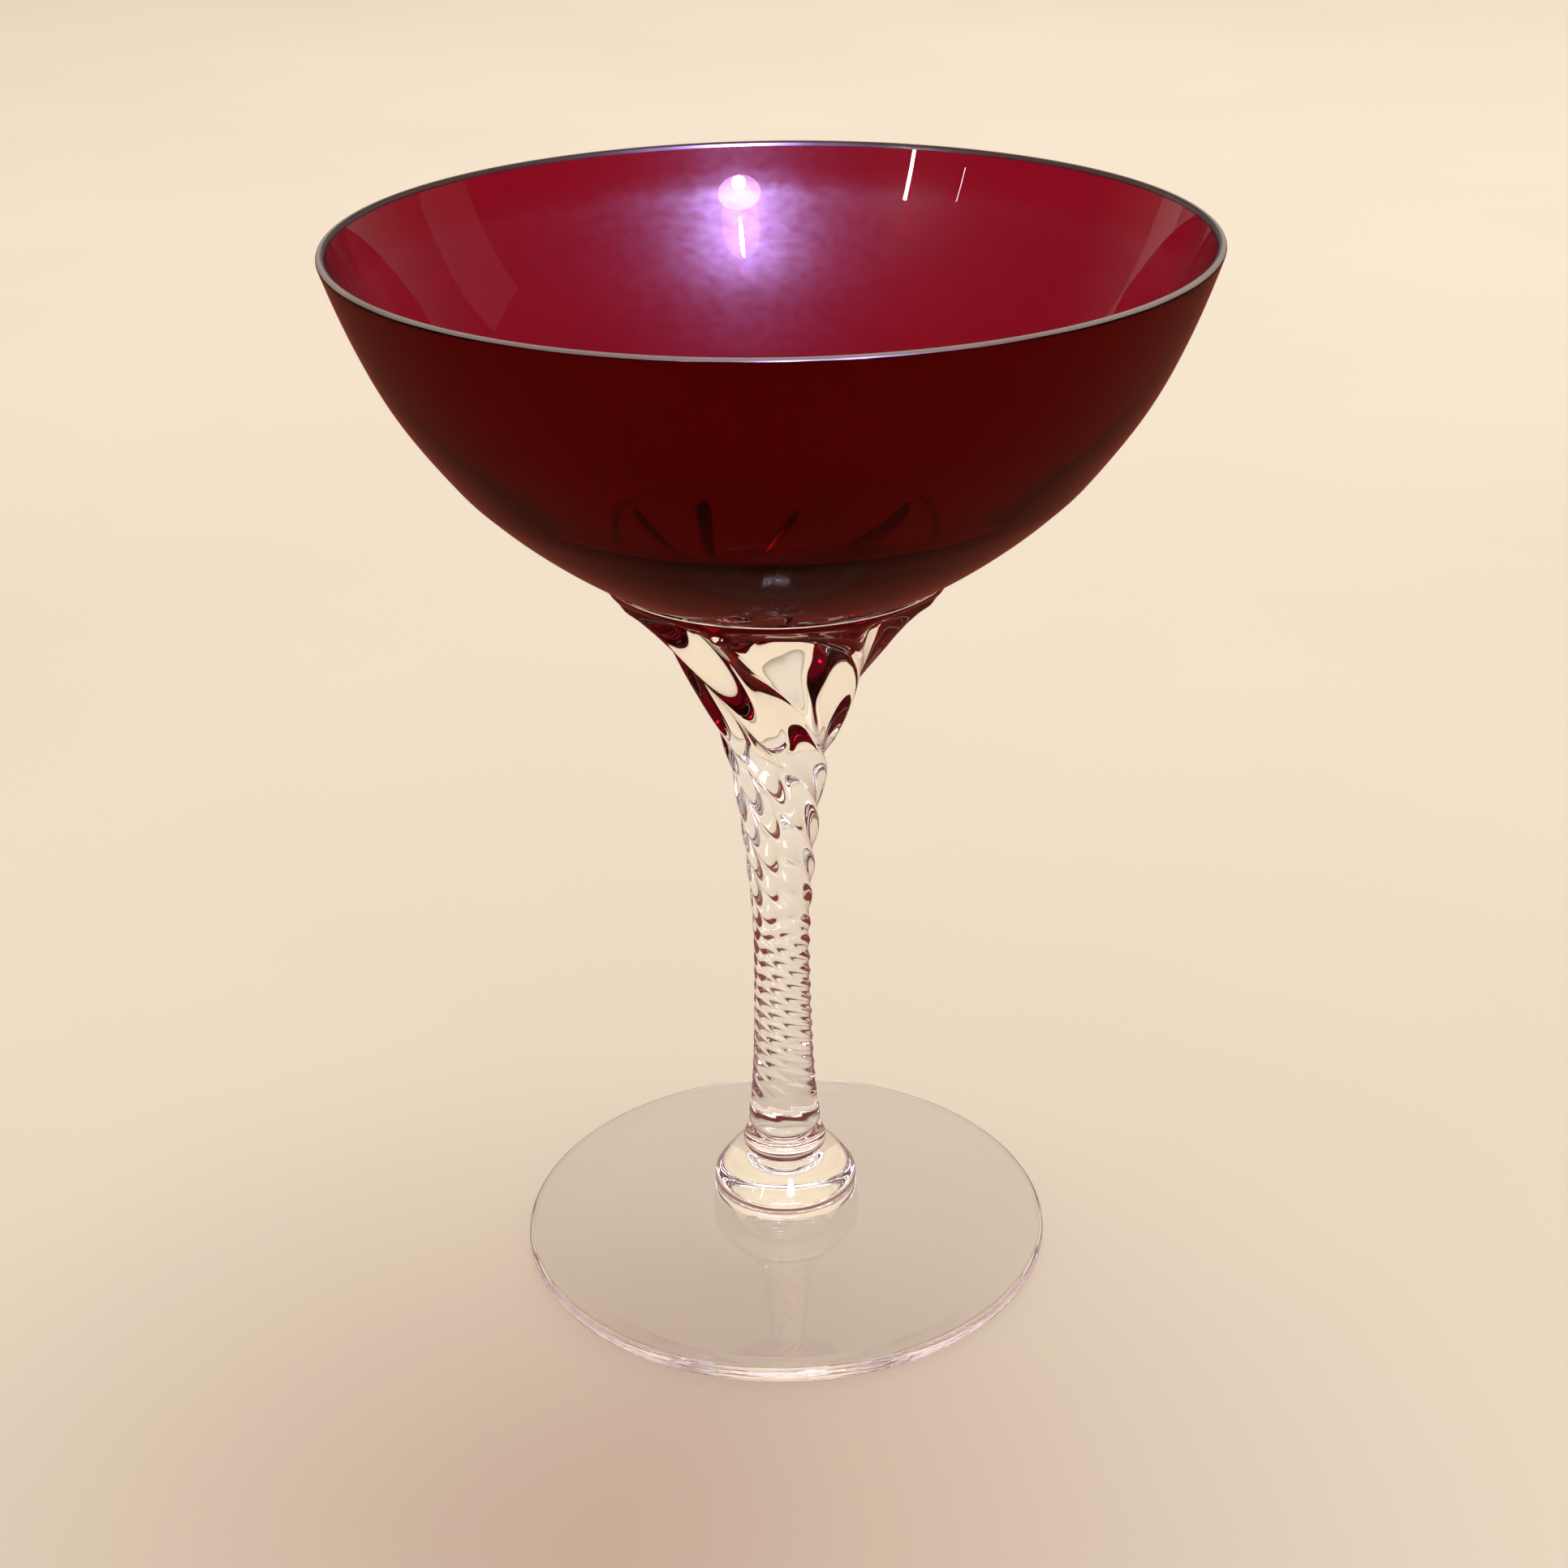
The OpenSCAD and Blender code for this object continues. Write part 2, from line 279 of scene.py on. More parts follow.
def arc(centre, radius, start, end, steps=14):
    """Points of an arc from angle start to angle end, in radians."""
    angles = np.linspace(start, end, steps + 1)
    return np.array(centre) + radius * np.column_stack([np.cos(angles), np.sin(angles)])


def radius_at(curve, height):
    """Radius of a rising curve at a height."""
    return float(np.interp(height, curve[:, 1], curve[:, 0]))


def below(curve, height):
    """The part of a rising curve below a height, ending on it."""
    kept = curve[curve[:, 1] < height - CUT_MARGIN]
    return np.vstack([kept, [radius_at(curve, height), height]])


def above(curve, height):
    """The part of a rising curve above a height, starting on it."""
    kept = curve[curve[:, 1] > height + CUT_MARGIN]
    return np.vstack([[radius_at(curve, height), height], kept])


# ---- meshes ----

def build_mesh(name, rings, bands, sharp=()):
    """A closed solid through rings of points, from its first end to its last.

    Each ring is an array of shape (points round, 3), and the outside is to the right of the way
    from ring to ring. Both ends lie on the axis, where a ring becomes one point. bands gives the
    material slot of each band between two rings. sharp lists rings where shading breaks, besides
    those where the slot changes.
    """
    vertices = []
    index = []
    for points in rings:
        if np.allclose(points[:, :2], 0, atol=1e-9):
            index.append([len(vertices)] * len(points))
            vertices.append(points[0])
        else:
            index.append(list(range(len(vertices), len(vertices) + len(points))))
            vertices.extend(points)
    around = len(rings[0])
    faces = []
    slots = []
    for lower, upper, slot in zip(index, index[1:], bands):
        for k in range(around):
            n = (k + 1) % around
            corners = [lower[k], lower[n], upper[n], upper[k]]
            faces.append(list(dict.fromkeys(corners)))
            slots.append(slot)
    mesh = bpy.data.meshes.new(name)
    mesh.from_pydata([tuple(v) for v in vertices], [], faces)
    mesh.polygons.foreach_set("material_index", slots)
    mesh.polygons.foreach_set("use_smooth", [True] * len(faces))
    breaks = set(sharp) | {i + 1 for i in range(len(bands) - 1) if bands[i] != bands[i + 1]}
    sharp_edges = set()
    for points in (index[r] for r in breaks):
        sharp_edges.update(frozenset(pair) for pair in zip(points, points[1:] + points[:1]))
    for mesh_edge in mesh.edges:
        if frozenset(mesh_edge.vertices) in sharp_edges:
            mesh_edge.use_edge_sharp = True
    mesh.validate()
    piece = bpy.data.objects.new(name, mesh)
    bpy.context.scene.collection.objects.link(piece)
    return piece


def ring(radii, angles, height):
    """Points round the axis at one height."""
    heights = np.full(len(angles), height)
    return np.column_stack([radii * np.cos(angles), radii * np.sin(angles), heights])


def lathe(profile):
    """Rings of points from a profile turned round the axis."""
    return np.array([ring(radius, CIRCLE, height) for radius, height in profile])


def place(piece, node, slot, *materials):
    """The piece stands for its CAD node, with one material in each of its mesh's slots."""
    for material in materials:
        piece.data.materials.append(material)
    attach(piece, "root")
    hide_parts(node)


# ---- materials ----

def grey(value):
    return (value, value, value)


def mirror_rays(tree):
    """1 for a ray that was last reflected by a polished face."""
    rays = tree.nodes.new("ShaderNodeLightPath")
    both = tree.nodes.new("ShaderNodeMath")
    both.operation = "MULTIPLY"
    tree.links.new(rays.outputs["Is Glossy Ray"], both.inputs[0])
    tree.links.new(rays.outputs["Is Reflection Ray"], both.inputs[1])
    return both.outputs["Value"]


def colour_mix(tree, factor, first, second, blend="MIX"):
    """Mixes two colours that come from sockets. factor is a socket or a number."""
    node = tree.nodes.new("ShaderNodeMix")
    node.data_type = "RGBA"
    node.blend_type = blend
    shown = {socket.name: socket for socket in node.inputs if socket.enabled}
    tree.links.new(first, shown["A"])
    tree.links.new(second, shown["B"])
    if isinstance(factor, float):
        shown["Factor"].default_value = factor
    else:
        tree.links.new(factor, shown["Factor"])
    return next(socket for socket in node.outputs if socket.enabled)


class Shader:
    """Adds nodes to a new material and links them."""

    def __init__(self, name):
        self.material = bpy.data.materials.new(name)
        self.material.use_nodes = True
        self.tree = self.material.node_tree
        self.tree.nodes.clear()
        self.coordinates = self.node("ShaderNodeTexCoord").outputs["Object"]

    def node(self, kind, **settings):
        node = self.tree.nodes.new(kind)
        for key, value in settings.items():
            setattr(node, key, value)
        return node

    def link(self, source, target):
        self.tree.links.new(source, target)

    def stretched(self, scale):
        """The object's coordinates, scaled on each axis."""
        mapping = self.node("ShaderNodeMapping")
        mapping.inputs["Scale"].default_value = scale
        self.link(self.coordinates, mapping.inputs["Vector"])
        return mapping.outputs["Vector"]

    def noise(self, per_metre, detail=2.0, scale=(1, 1, 1)):
        """Noise with so many blotches to a metre, more on the axes that scale raises."""
        noise = self.node("ShaderNodeTexNoise")
        noise.inputs["Scale"].default_value = per_metre
        noise.inputs["Detail"].default_value = detail
        self.link(self.stretched(scale), noise.inputs["Vector"])
        return noise.outputs["Fac"]

    def ramp(self, factor, stops):
        """A colour ramp from (position, colour) pairs."""
        ramp = self.node("ShaderNodeValToRGB")
        elements = ramp.color_ramp.elements
        while len(elements) < len(stops):
            elements.new(0.5)
        for element, (position, colour) in zip(elements, stops):
            element.position = position
            element.color = (*colour, 1.0)
        self.link(factor, ramp.inputs["Fac"])
        return ramp.outputs["Color"]

    def mottled(self, first, second, per_metre, detail, scale=(1, 1, 1)):
        """A colour that wanders between two others."""
        return self.ramp(self.noise(per_metre, detail, scale), [(0.3, first), (0.7, second)])

    def range(self, value, low, high, to_low=0.0, to_high=1.0):
        """to_low where value is low, and to_high where it is high."""
        node = self.node("ShaderNodeMapRange")
        node.inputs["From Min"].default_value = low
        node.inputs["From Max"].default_value = high
        node.inputs["To Min"].default_value = to_low
        node.inputs["To Max"].default_value = to_high
        self.link(value, node.inputs["Value"])
        return node.outputs["Result"]

    def height(self, low, high):
        """0 at height low and 1 at height high."""
        axes = self.node("ShaderNodeSeparateXYZ")
        self.link(self.coordinates, axes.inputs["Vector"])
        return self.range(axes.outputs["Z"], low, high)

    def distance(self, low, high):
        """0 at distance low from the axis and 1 at distance high."""
        length = self.node("ShaderNodeVectorMath", operation="LENGTH")
        self.link(self.stretched((1, 1, 0)), length.inputs[0])
        return self.range(length.outputs["Value"], low, high)

    def bump(self, height, distance, previous=None):
        """Normals of a surface that rises by distance where height is 1."""
        bump = self.node("ShaderNodeBump")
        bump.inputs["Strength"].default_value = 1.0
        bump.inputs["Distance"].default_value = distance
        self.link(height, bump.inputs["Height"])
        if previous is not None:
            self.link(previous, bump.inputs["Normal"])
        return bump.outputs["Normal"]

    def either(self, factor, first, second):
        """The first surface where factor is 0 and the second where it is 1."""
        node = self.node("ShaderNodeMixShader")
        self.link(factor, node.inputs["Fac"])
        self.link(first, node.inputs[1])
        self.link(second, node.inputs[2])
        return node.outputs["Shader"]

    def finish(self, surface):
        output = self.node("ShaderNodeOutputMaterial")
        self.link(surface, output.inputs["Surface"])
        return self.material


def glass(name, colour_of, waves, lamp_tint, mirror=1.0, film_of=None):
    """Polished glass with the slow waves of blown glass.

    colour_of makes the colour from the shader, and film_of the weight of a thin dull film on the
    face. waves is a row such as BOWL_WAVES. lamp_tint is the light that lamps send through one
    face. mirror is how strongly the face reflects what is straight in front of it.
    """
    shader = Shader(name)
    body = shader.node("ShaderNodeBsdfPrincipled")
    body.inputs["IOR"].default_value = GLASS_IOR
    body.inputs["Transmission Weight"].default_value = 1.0
    body.inputs["Specular Tint"].default_value = (*grey(mirror), 1)
    if film_of is not None:
        body.inputs["Coat Roughness"].default_value = HAZE_ROUGHNESS
        body.inputs["Coat IOR"].default_value = HAZE_IOR
        shader.link(film_of(shader), body.inputs["Coat Weight"])
    shader.link(colour_of(shader), body.inputs["Base Color"])
    smudges = shader.range(shader.noise(90, 4.0), 0.45, 0.75, 0.0, SMUDGE_ROUGHNESS)
    shader.link(smudges, body.inputs["Roughness"])
    per_metre, height, stretch = waves
    times_as_many, share_of_height = FINE_WAVES
    slow = shader.bump(shader.noise(per_metre, 1.0, stretch), height)
    fine_noise = shader.noise(per_metre * times_as_many, 2.0, stretch)
    fine = shader.bump(fine_noise, height * share_of_height, slow)
    shader.link(fine, body.inputs["Normal"])
    facing = shader.node("ShaderNodeLayerWeight")
    facing.inputs["Blend"].default_value = 0.35
    slant_tint = tuple(SLANT_SHARE * c for c in lamp_tint)
    tint = shader.ramp(facing.outputs["Facing"], [(0.35, lamp_tint), (1.0, slant_tint)])
    clear = shader.node("ShaderNodeBsdfTransparent")
    shader.link(tint, clear.inputs["Color"])
    rays = shader.node("ShaderNodeLightPath")
    surface = body.outputs["BSDF"]
    for kind in ("Is Diffuse Ray", "Is Shadow Ray"):
        surface = shader.either(rays.outputs[kind], surface, clear.outputs["BSDF"])
    return shader.finish(surface)


def ground_glass(name):
    """The rim, ground and only half polished, so that it looks pale on top and outside. Towards the
    inner side of the lip its colour is painted dark: painted shade.
    """
    shader = Shader(name)
    body = shader.node("ShaderNodeBsdfPrincipled")
    body.inputs["IOR"].default_value = GLASS_IOR
    body.inputs["Transmission Weight"].default_value = GROUND_SHINE_THROUGH
    pale = shader.mottled((0.38, 0.32, 0.31), (0.50, 0.43, 0.41), 60, 3.0)
    across_lip = shader.distance(edge[0] - RIM_WALL, edge[0])
    # painted shade: the lip's colour is painted dark towards its inner side, where the back of the
    # rim is seen
    painted_inner_shade = shader.ramp(across_lip, [(0.3, (0.1, 0.05, 0.05)), (0.55, (1.0, 1.0, 1.0))])
    colour = colour_mix(shader.tree, 1.0, pale, painted_inner_shade, "MULTIPLY")
    shader.link(colour, body.inputs["Base Color"])
    roughness = shader.range(shader.noise(150, 2.0), 0.3, 0.7, *GROUND_ROUGHNESS)
    shader.link(roughness, body.inputs["Roughness"])
    shader.link(shader.bump(shader.noise(300, 2.0), 0.004 * MM), body.inputs["Normal"])
    return shader.finish(body.outputs["BSDF"])


def crystal_colour(shader):
    """Clear glass, with faint cool and warm streaks."""
    return shader.mottled((0.98, 0.983, 0.99), (1.0, 0.995, 0.985), 45, 3.0, (1, 1, 0.4))


def through_ruby(thickness):
    """Colour of white light behind that much ruby glass, in metres."""
    return tuple(math.exp(-k * thickness / MM) for k in RUBY_ABSORPTION)


def ruby_colour(shader):
    """What half of the lining lets through: paler near the rim, where it is thinner."""
    stops = []
    for share in (0.0, 0.15, 0.5, 1.0):
        lining = mix(RUBY_BASE, RUBY_RIM, math.sqrt(share))
        stops.append((share, through_ruby(lining)))
    even = shader.ramp(shader.height(bowl_bottom, ruby_top), stops)
    streaks = shader.mottled(grey(0.82), grey(1.0), 30, 4.0, (1, 1, 2.5))
    return colour_mix(shader.tree, 1.0, even, streaks, "MULTIPLY")


def dried_haze(shader):
    """Weight of the haze a drink leaves when it dries: most at a wavy line below the rim."""
    wavy = shader.node("ShaderNodeMath", operation="MULTIPLY_ADD")
    shader.link(shader.noise(120, 5.0, (1, 1, 0.6)), wavy.inputs[0])
    wavy.inputs[1].default_value = HAZE_WAVE
    shader.link(shader.height(bowl_bottom, ruby_top), wavy.inputs[2])
    film = shader.ramp(wavy.outputs["Value"], [(share, grey(weight)) for share, weight in HAZE])
    smudged = shader.noise(900, 6.0, (0.6, 0.6, 1.0))
    smears = shader.ramp(smudged, [(0.3, grey(0.6)), (0.65, grey(1.0))])
    return colour_mix(shader.tree, 1.0, film, smears, "MULTIPLY")


def seam(name, colour):
    """A face inside fused glass: light goes straight through it."""
    shader = Shader(name)
    clear = shader.node("ShaderNodeBsdfTransparent")
    streaked = tuple(0.99 * c for c in colour)
    tint = shader.ramp(shader.noise(60, 2.0), [(0.0, streaked), (1.0, colour)])
    shader.link(tint, clear.inputs["Color"])
    return shader.finish(clear.outputs["BSDF"])


half_ruby = tuple(math.sqrt(c) for c in through_ruby(mix(RUBY_BASE, RUBY_RIM, 0.6)))
clear_bowl = glass("clear_bowl_glass", crystal_colour, BOWL_WAVES, LAMP_TINT, CLEAR_MIRROR)
clear_stem = glass("clear_stem_glass", crystal_colour, STEM_WAVES, STEM_LAMP_TINT)
clear_foot = glass("clear_foot_glass", crystal_colour, FOOT_WAVES, LAMP_TINT)
ruby = glass("ruby_glass", ruby_colour, BOWL_WAVES, half_ruby, RUBY_MIRROR, dried_haze)
clear_seam = seam("clear_seam", (1.0, 1.0, 1.0))
ruby_seam = seam("ruby_seam", half_ruby)


# ---- bowl ----

# The outer wall ends at edge, and the lip's rounding goes on from there.
bowl_shape = smooth(BOWL_SHAPE, bent_ends=True) * [rim_radius, bowl_depth]
lean = across(bowl_shape)[-1]
lip = RIM_WALL / 2
edge = np.array([rim_radius - lip * (1 + lean[0]), rim_top - lip * (1 + lean[1])])
to_edge = [edge[0] / rim_radius, (edge[1] - bowl_bottom) / bowl_depth]
bowl_outside = bowl_shape * to_edge + [0, bowl_bottom]


def inside_bowl(depth_in_middle, depth_at_rim):
    """The bowl's outer curve moved inwards, by one depth in the middle and another at the rim.

    The wall thins evenly, but for a level place in the middle, which keeps the bowl's bottom round.
    """
    inward = across(bowl_outside)
    inward[0] = (0, 1)
    thinning = np.hypot(bowl_outside[:, 0] / edge[0], LEVEL_MIDDLE) - LEVEL_MIDDLE
    depth = mix(depth_in_middle, depth_at_rim, thinning / thinning[-1])
    return bowl_outside + inward * depth[:, None]


rim_glass = ground_glass("ground_rim_glass")
bowl_inside = inside_bowl(BASE_WALL, RIM_WALL)
bowl_interface = inside_bowl(BASE_WALL - RUBY_BASE, RIM_WALL - RUBY_RIM)
lining_outside = inside_bowl(BASE_WALL - RUBY_BASE + SEAM_GAP, RIM_WALL - RUBY_RIM + SEAM_GAP)
ruby_edge = ruby_top - SEAM_GAP


def make_ruby_lining():
    outer = below(lining_outside, ruby_edge)
    inner = below(bowl_inside, ruby_edge)[::-1]
    rings = lathe(np.vstack([outer, inner]))
    bands = [SEAM] * len(outer) + [AIR] * (len(inner) - 1)
    piece = build_mesh("bowl_ruby_lining_visual", rings, bands, [len(outer) - 1])
    place(piece, "bowl_ruby_lining", "ruby_glass", ruby, ruby_seam)


def make_clear_casing(seat_radius):
    """The casing, which the calyx holds up to seat_radius."""
    seat_height = float(np.interp(seat_radius, bowl_outside[:, 0], bowl_outside[:, 1]))
    seat = below(bowl_outside, seat_height)
    wall = above(bowl_outside, seat_height)[1:]
    end, start = bowl_inside[-1], bowl_outside[-1]
    centre = (start + end) / 2
    angle = math.atan2(start[1] - centre[1], start[0] - centre[0])
    rim = arc(centre, np.linalg.norm(start - centre), angle, angle + math.pi, LIP_STEPS)[1:]
    band = above(bowl_inside, ruby_top)[::-1][1:]
    interface = below(bowl_interface, ruby_top)[::-1]
    seat_end = len(seat) - 1
    lip_start = seat_end + len(wall) + CLEAR_LIP_STEPS
    lip_end = seat_end + len(wall) + len(rim) + len(band)
    bands = [SEAM] * seat_end + [AIR] * (lip_start - seat_end) + [GROUND] * (lip_end - lip_start)
    bands += [SEAM] * len(interface)
    rings = lathe(np.vstack([seat, wall, rim, band, interface]))
    waves = np.sin(3 * CIRCLE + 1) + np.sin(11 * CIRCLE) + np.sin(29 * CIRCLE)
    rings[lip_start, :, 2] += RIM_WAVE * waves
    piece = build_mesh("bowl_clear_casing_visual", rings, bands, [lip_end])
    place(piece, "bowl_clear_casing", "clear_glass", clear_bowl, clear_seam, rim_glass)


# ---- stem ----

stem_rows = smooth(STEM_SHAPE, STEM_STEPS)
stem_around = len(RIBS) * POINTS_PER_RIB
rib_turn, flute_scale, flute_lift, flute_lean = np.array(RIBS, dtype=float).T
flute, between = np.divmod(np.arange(stem_around), POINTS_PER_RIB)
between = between / POINTS_PER_RIB   # for each point round the stem, 0 to 1 from rib to rib


def stem_value(share, column):
    return np.interp(share, stem_rows[:, 0], stem_rows[:, column])


def ring_shares():
    """Heights of the stem's rings as shares of its length, closer where the twist is quick."""
    shares = [0.0]
    while shares[-1] < 1:
        share = shares[-1]
        step = min(
            RING_STEP,
            RING_TURN / max(stem_value(share, TWIST), 1),
            BOTTOM_RING_STEP + BOTTOM_RING_GROWTH * share,
            TOP_RING_STEP + TOP_RING_GROWTH * (1 - share),
        )
        shares.append(share + step * MM / stem_length)
    shares[-1] = 1.0
    return np.array(shares)


def rib_shape(place_between, rounding):
    """1 on top of a rib and 0 in the middle of a flute; 0 to 1 runs from one rib to the next."""
    wave = np.sin(np.pi * place_between)
    rounded = np.sqrt(wave**2 + rounding**2) - rounding
    return 1 - rounded / (np.sqrt(1 + rounding**2) - rounding)


def rib_angles(shares):
    """Angle of each point of each ring, in radians."""
    rates = np.maximum(stem_value(shares, TWIST), 0)
    twists = (rates[1:] + rates[:-1]) / 2 * np.diff(shares) * stem_length / MM
    turned = np.concatenate([[0], np.cumsum(twists)])
    pulled = mix(rib_turn[flute], np.roll(rib_turn, -1)[flute], between)
    uneven = pulled * rise(shares[:, None], *RIBS_UNEVEN)
    even = 360 * np.arange(stem_around) / stem_around
    return np.radians(RIB_PHASE - turned[:, None] + even + uneven)


def rib_radii(shares):
    """Distance from the axis of each point of each ring."""
    up = shares[:, None]
    lean = flute_lean[flute] * rise(up, *FLUTES_LEAN)
    leaning = between + LEAN_REACH * lean * np.sin(2 * np.pi * between)
    rib = rib_shape(leaning, np.interp(up, *RIB_ROUNDING))
    lifted = up - flute_lift[flute] * MM / stem_length * rise(up, *FLUTES_LIFTED)
    depth = np.maximum(stem_value(lifted, DEPTH), 0) * MM * mix(1, flute_scale[flute], up)
    swelling = RIB_HEAD * np.exp(-((up - RIB_HEAD_SHARE) / RIB_HEAD_LENGTH) ** 2)
    return STEM_RADIUS * stem_value(up, RADIUS) - depth * (1 - rib) + swelling * rib**3


def add_drops(radii, shares, angles):
    """Raises radii where the drops are."""
    for degrees, share, size in DROPS:
        away = (np.degrees(angles - angles[-1, 0]) - degrees + 180) % 360 - 180
        along = (shares[:, None] - share) * stem_length / MM
        sideways = np.radians(away) * radii / MM
        radii += DROP_HEIGHT * size * MM * np.exp(-(along**2 + sideways**2) / size**2)


def make_twisted_stem():
    """Returns the radius at which the calyx meets the bowl."""
    shares = ring_shares()
    heights = stem_bottom + shares * stem_length
    angles = rib_angles(shares)
    radii = rib_radii(shares)
    add_drops(radii, shares, angles)
    bowl_radii = np.interp(heights, bowl_outside[:, 1], bowl_outside[:, 0])
    bowl_radii[heights <= bowl_bottom] = 0
    radii = np.maximum(radii, bowl_radii[:, None] + SEAT_COVER)
    seat_radius = radius_at(bowl_outside, calyx_top)
    radii[-1] = seat_radius
    seat = below(bowl_outside, calyx_top)[::-1][1:]
    rings = [ring(0, angles[0], stem_bottom)]
    rings += [ring(*row) for row in zip(radii, angles, heights)]
    rings += [ring(radius, angles[-1], height) for radius, height in seat]
    bands = [SEAM] + [AIR] * (len(radii) - 1) + [SEAM] * len(seat)
    piece = build_mesh("twisted_stem_visual", rings, bands)
    place(piece, "twisted_stem", "clear_glass", clear_stem, clear_seam)
    return seat_radius


# ---- collar, knop and foot ----

def turned_piece(name, side):
    """A lathed piece between two flat ends that are fused to its neighbours."""
    profile = np.vstack([[0, side[0, 1]], side, [0, side[-1, 1]]])
    return build_mesh(name, lathe(profile), [SEAM] + [AIR] * (len(side) - 1) + [SEAM])


def make_collar():
    side = [(collar_foot_radius, collar_bottom)]
    for share_in, share_up in COLLAR_SHAPE:
        radius = mix(collar_radius, neck_radius, share_in)
        side.append((radius, mix(collar_bottom, stem_bottom, share_up)))
    side.append((neck_radius, stem_bottom))
    piece = turned_piece("stem_collar_visual", smooth(side))
    place(piece, "stem_collar", "clear_glass", clear_foot, clear_seam)


def make_knop():
    side = [(knop_foot_radius, knop_bottom)]
    for multiple, share_up in KNOP_SHAPE:
        side.append((knop_radius * multiple, mix(knop_bottom, collar_bottom, share_up)))
    side.append((collar_foot_radius, collar_bottom))
    piece = turned_piece("foot_knop_visual", smooth(side))
    place(piece, "foot_knop", "clear_glass", clear_foot, clear_seam)


def make_foot():
    edge_radius = FOOT_EDGE / 2
    centre = (foot_radius - edge_radius, foot_bottom + edge_radius)
    hollow_edge = centre[0] - REST_RING_WIDTH
    hollow_top = foot_rise - FOOT_MIDDLE_WALL
    underside = smooth([(hollow_edge * out, hollow_top * up) for out, up in HOLLOW_SHAPE]
                       + [(hollow_edge, foot_bottom)])
    rim = arc(centre, edge_radius, -math.pi / 2, math.pi / 2)
    top = smooth([(centre[0], foot_bottom + FOOT_EDGE)]
                 + [(foot_radius * out, mix(FOOT_EDGE, foot_rise, up)) for out, up in FOOT_SHAPE]
                 + [(knop_foot_radius, foot_rise)])[1:]
    profile = np.vstack([underside, rim, top, [0, foot_rise]])
    bands = [AIR] * (len(profile) - 2) + [SEAM]
    rest_ring = [len(underside) - 1, len(underside)]
    piece = build_mesh("foot_disc_visual", lathe(profile), bands, rest_ring)
    place(piece, "foot_disc", "clear_glass", clear_foot, clear_seam)


# ---- floor, light and camera ----

def make_floor():
    """Pale floor. Rays reflected by polished faces see it painted a dark red-brown instead: a
    painted reflection of dark surroundings.
    """
    bpy.ops.mesh.primitive_plane_add(size=FLOOR_SIZE, location=(0, 0, foot_bottom - FLOOR_GAP))
    floor = bpy.context.object
    floor.name = "studio_floor"
    shader = Shader("studio_floor")
    paint = shader.node("ShaderNodeBsdfDiffuse")
    pale = shader.mottled((0.74, 0.68, 0.60), (0.77, 0.71, 0.63), 6, 3.0)
    shader.link(pale, paint.inputs["Color"])
    # painted reflection: this dark colour is shown only to rays reflected by polished faces
    painted_dark_reflection = shader.node("ShaderNodeBsdfDiffuse")
    painted_dark_reflection.inputs["Color"].default_value = (0.2, 0.05, 0.035, 1)
    rays = shader.node("ShaderNodeLightPath")
    reflected = shader.node("ShaderNodeMath", operation="GREATER_THAN")
    shader.link(rays.outputs["Glossy Depth"], reflected.inputs[0])
    factor = reflected.outputs["Value"]
    surface = shader.either(factor, paint.outputs["BSDF"], painted_dark_reflection.outputs["BSDF"])
    floor.data.materials.append(shader.finish(surface))


def around_glass(azimuth, elevation, distance):
    """A point round the bowl. Azimuth 0 is in front of it and 90 is to its right, in degrees."""
    a, e = math.radians(azimuth), math.radians(elevation)
    out = distance * math.cos(e)
    return out * math.sin(a), -out * math.cos(a), LIT_HEIGHT + distance * math.sin(e)


def area_light(name, azimuth, elevation, distance, size, watts, colour,
               lights_floor=False, shape="RECTANGLE"):
    """An area light that faces the bowl. size is (width, height) in metres.

    A light either lights the floor, or is there only for its reflection in the glass.
    """
    light = bpy.data.lights.new(name, "AREA")
    light.shape = shape
    light.size, light.size_y = size
    light.energy = watts
    light.color = colour
    lamp = bpy.data.objects.new(name, light)
    lamp.location = around_glass(azimuth, elevation, distance)
    towards = Vector((0, 0, LIT_HEIGHT)) - lamp.location
    lamp.rotation_euler = towards.to_track_quat("-Z", "Y").to_euler()
    lamp.visible_diffuse = lights_floor
    lamp.visible_glossy = not lights_floor
    lamp.visible_transmission = not lights_floor
    bpy.context.scene.collection.objects.link(lamp)


def make_light():
    """One softbox, and for reflections the windows and the lamp of a room."""
    def ellipse(*values):
        area_light(*values, shape="ELLIPSE")

    area_light("softbox", 160, 62, 1.6, (1.2, 1.2), 18, (1.0, 0.96, 0.9), lights_floor=True)
    area_light("front_window", 0, 14, 1.5, (1.2, 0.25), 9, (0.92, 0.9, 1.0))
    area_light("window", -43, 27.5, 1.6, (0.025, 0.2), 3, (0.85, 0.9, 1.0))
    area_light("far_window", -59.4, 26.4, 1.8, (0.01, 0.12), 0.12, (0.85, 0.9, 1.0))
    area_light("window_right", 104, 22, 1.6, (0.5, 0.5), 0.24, (1.0, 0.75, 0.7))
    area_light("window_behind", -136, 12, 1.6, (0.3, 0.5), 0.2, (1.0, 0.75, 0.7))
    ellipse("lamp", 9.9, 32.3, 1.1, (0.07, 0.035), 30, (0.5, 0.38, 1.0))
    ellipse("lamp_crown", 9.9, 33.7, 1.15, (0.23, 0.1), 1.1, (1.0, 0.62, 1.0))
    ellipse("lamp_glow", 10.3, 41.5, 1.1, (0.02, 0.16), 75, (0.5, 0.36, 1.0))
    ellipse("lamp_bulb", 10.3, 38.6, 1.15, (0.2, 0.3), 0.9, (1.0, 0.5, 0.85))
    bpy.context.scene.world = studio_world()


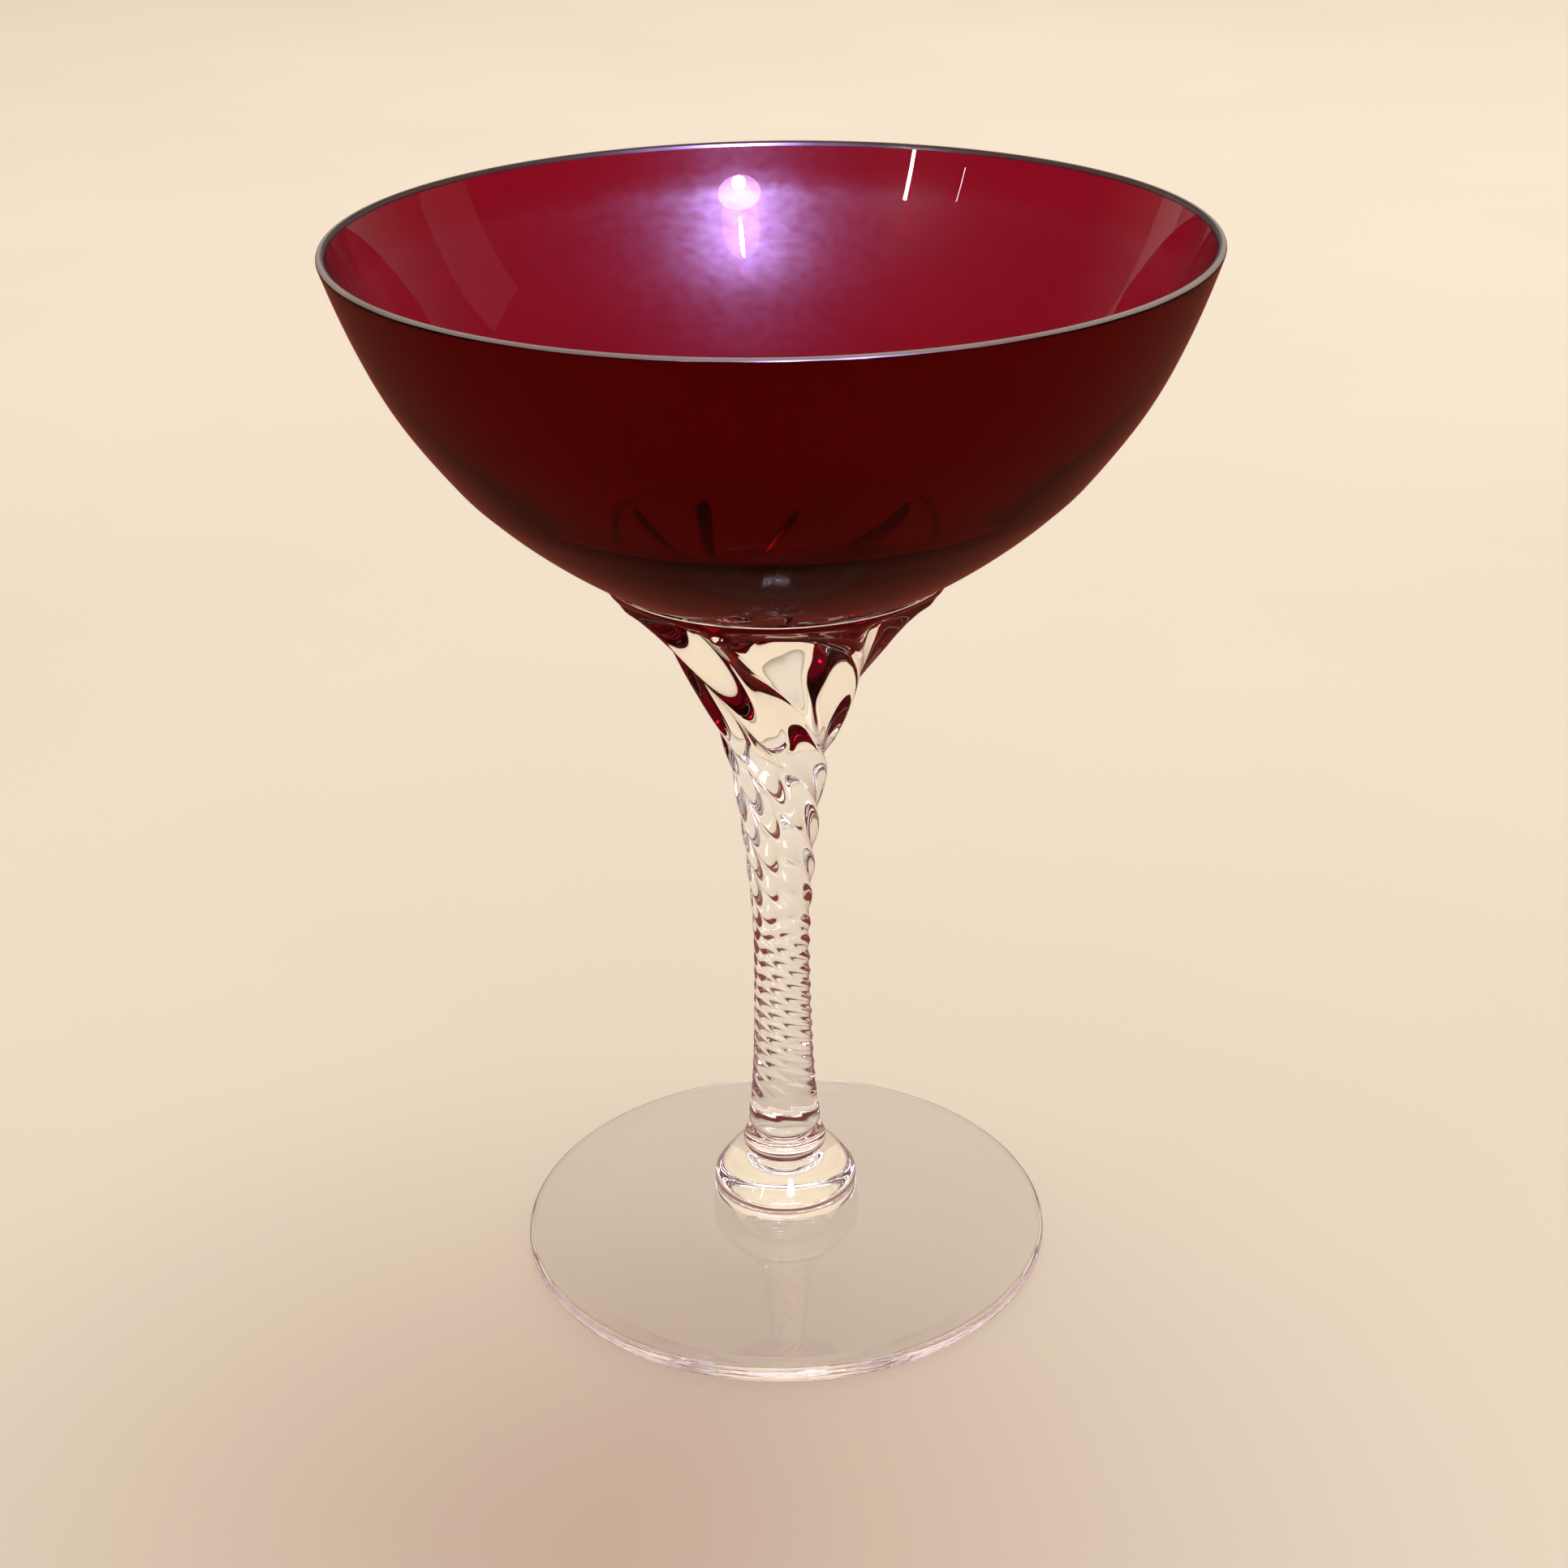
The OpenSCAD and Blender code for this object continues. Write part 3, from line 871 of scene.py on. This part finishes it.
def studio_world():
    """Light from all round, palest behind the glass. In mirror reflections it is much darker."""
    world = bpy.data.worlds.new("studio")
    world.use_nodes = True
    tree = world.node_tree
    background = tree.nodes["Background"]
    direction = tree.nodes.new("ShaderNodeTexCoord")
    colours = []
    for palest, dark_colour, pale_colour in SURROUNDINGS:
        lean = tree.nodes.new("ShaderNodeVectorMath")
        lean.operation = "DOT_PRODUCT"
        lean.inputs[1].default_value = palest
        tree.links.new(direction.outputs["Generated"], lean.inputs[0])
        ramp = tree.nodes.new("ShaderNodeValToRGB")
        dark, pale = ramp.color_ramp.elements
        dark.color = (*dark_colour, 1)
        pale.color = (*pale_colour, 1)
        pale.position = PALEST_FROM
        tree.links.new(lean.outputs["Value"], ramp.inputs["Fac"])
        colours.append(ramp.outputs["Color"])
    mixed = colour_mix(tree, mirror_rays(tree), *colours)
    tree.links.new(mixed, background.inputs["Color"])
    background.inputs["Strength"].default_value = WORLD_STRENGTH
    return world


def make_camera():
    """The place and direction from which the picture that the glass was built from was taken."""
    camera = bpy.data.cameras.new("camera")
    camera.lens = CAMERA_LENS
    camera.sensor_width = CAMERA_SENSOR
    camera.clip_start = CAMERA_NEAR
    holder = bpy.data.objects.new("camera", camera)
    holder.location = CAMERA_PLACE
    holder.rotation_mode = "XYZ"
    turned = Matrix.Rotation(math.radians(-CAMERA_RIGHT), 3, "Z")
    tilted = Matrix.Rotation(math.radians(90 - CAMERA_DOWN), 3, "X")
    rolled = Matrix.Rotation(math.radians(CAMERA_ROLL), 3, "Z")
    holder.rotation_euler = (turned @ tilted @ rolled).to_euler()
    bpy.context.scene.collection.objects.link(holder)
    bpy.context.scene.camera = holder


def set_render_options():
    scene = bpy.context.scene
    scene.view_settings.view_transform = "Standard"
    cycles = scene.cycles
    cycles.max_bounces = 32
    cycles.transmission_bounces = 32
    cycles.glossy_bounces = 32
    cycles.diffuse_bounces = 3
    cycles.transparent_max_bounces = 48
    cycles.caustics_reflective = False
    cycles.caustics_refractive = False


make_ruby_lining()
make_clear_casing(make_twisted_stem())
make_collar()
make_knop()
make_foot()
make_floor()
make_light()
make_camera()
set_render_options()
